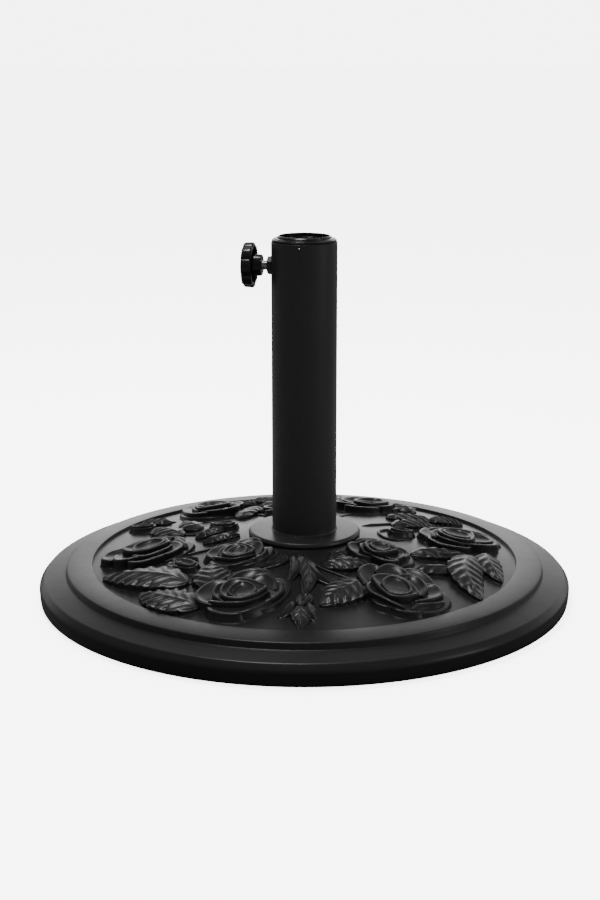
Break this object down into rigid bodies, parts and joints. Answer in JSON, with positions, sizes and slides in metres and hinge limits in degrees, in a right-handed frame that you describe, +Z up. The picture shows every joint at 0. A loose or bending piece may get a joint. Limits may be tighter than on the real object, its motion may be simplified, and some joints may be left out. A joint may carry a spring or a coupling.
{
  "type": "parasol base",
  "caption": "Round weighted parasol base with a rose and leaf relief, an upright pole sleeve, and a screw clamp with a lobed knob near its mouth.",
  "frame": {"origin": "centre of the base, on the floor", "axes": "+Z up along the pole sleeve; the clamp's stud and knob point along -X"},
  "size_m": [0.45, 0.45, 0.303],
  "materials": {
    "cover": "satin black moulded cover",
    "black_steel": "satin black powder coat",
    "black_plastic": "satin black moulded plastic",
    "ballast": "rough cast cement",
    "pad": "matt rubber",
    "zinc": "bright zinc plate"
  },
  "bodies": {
    "base": {"base_shell": "cover", "ballast_core": "ballast", "bottom_cover": "cover", "foot_pad_1": "pad", "foot_pad_2": "pad", "foot_pad_3": "pad", "foot_pad_4": "pad", "foot_pad_5": "pad", "foot_pad_6": "pad", "centre_bolt": "zinc", "plain_washer": "zinc", "spring_washer": "zinc", "centre_nut": "zinc", "flange_plate": "black_steel", "pole_sleeve": "black_steel", "collar_insert": "black_plastic", "collar_rivet_front": "black_steel", "collar_rivet_back": "black_steel", "clamp_nut": "black_steel"},
    "clamp_tip": {"stud_tip": "black_plastic"},
    "clamp_screw": {"clamp_stud": "zinc", "knob": "black_plastic"}
  },
  "joints": [
    {"name": "clamp_feed", "type": "slide", "parent": "base", "child": "clamp_tip", "axis": [1, 0, 0], "range_m": [-0.004, 0.004]},
    {"name": "knob_turn", "type": "hinge", "parent": "clamp_tip", "child": "clamp_screw", "pos_m": [-0.035, 0, 0.278], "axis": [1, 0, 0], "range_deg": [-1145, 1145]}
  ],
  "couplings": [
    {"joint": "clamp_feed", "follows": "knob_turn", "m_per_rad": 0.00019894}
  ]
}
